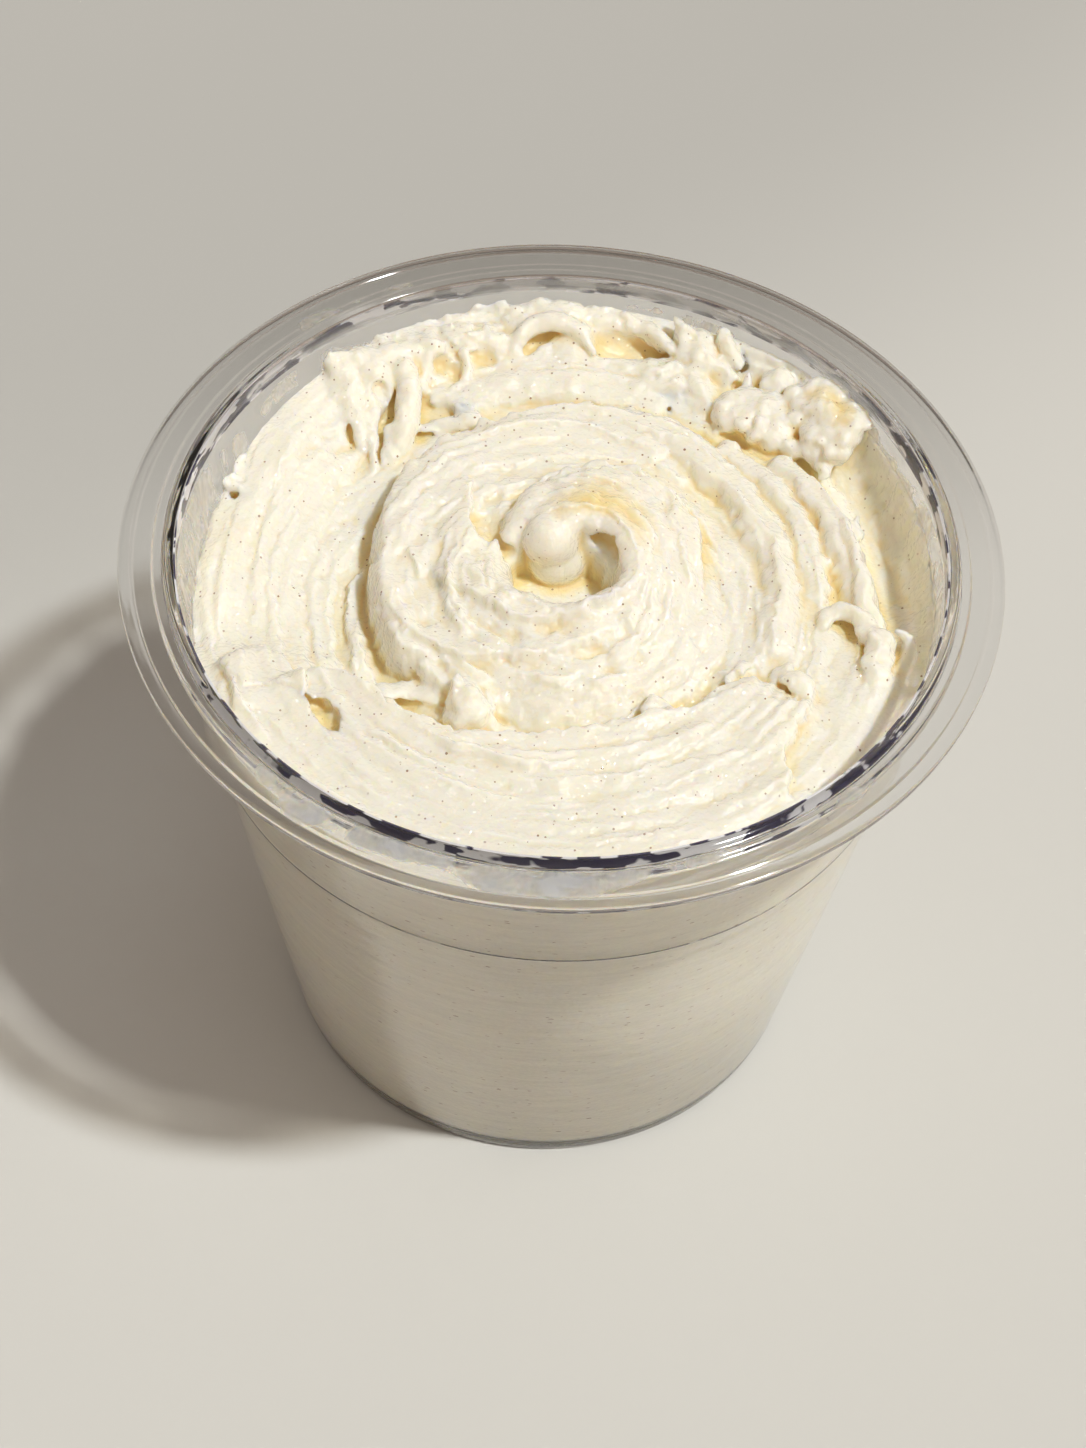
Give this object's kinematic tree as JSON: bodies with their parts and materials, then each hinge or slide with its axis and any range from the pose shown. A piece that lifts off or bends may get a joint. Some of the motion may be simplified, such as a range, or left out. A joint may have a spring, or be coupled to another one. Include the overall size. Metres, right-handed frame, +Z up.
{
  "type": "ice cream tub",
  "caption": "Clear flanged plastic tub, open at the top, filled with vanilla ice cream whose surface is worked into a deep swirl with a curled tip and ragged edges.",
  "frame": {"origin": "middle of the tub's foot, on the surface that it stands on", "axes": "+Z up through the middle of the tub; -Y is the side shown in front; +X to its right"},
  "size_m": [0.111, 0.111, 0.0875],
  "materials": {
    "clear_plastic": "clear moulded plastic, glossy",
    "vanilla_ice_cream": "soft moist dairy cream with fine vanilla specks, satin"
  },
  "bodies": {
    "root": {"tub": "clear_plastic", "ice_cream": "vanilla_ice_cream"}
  },
  "joints": []
}
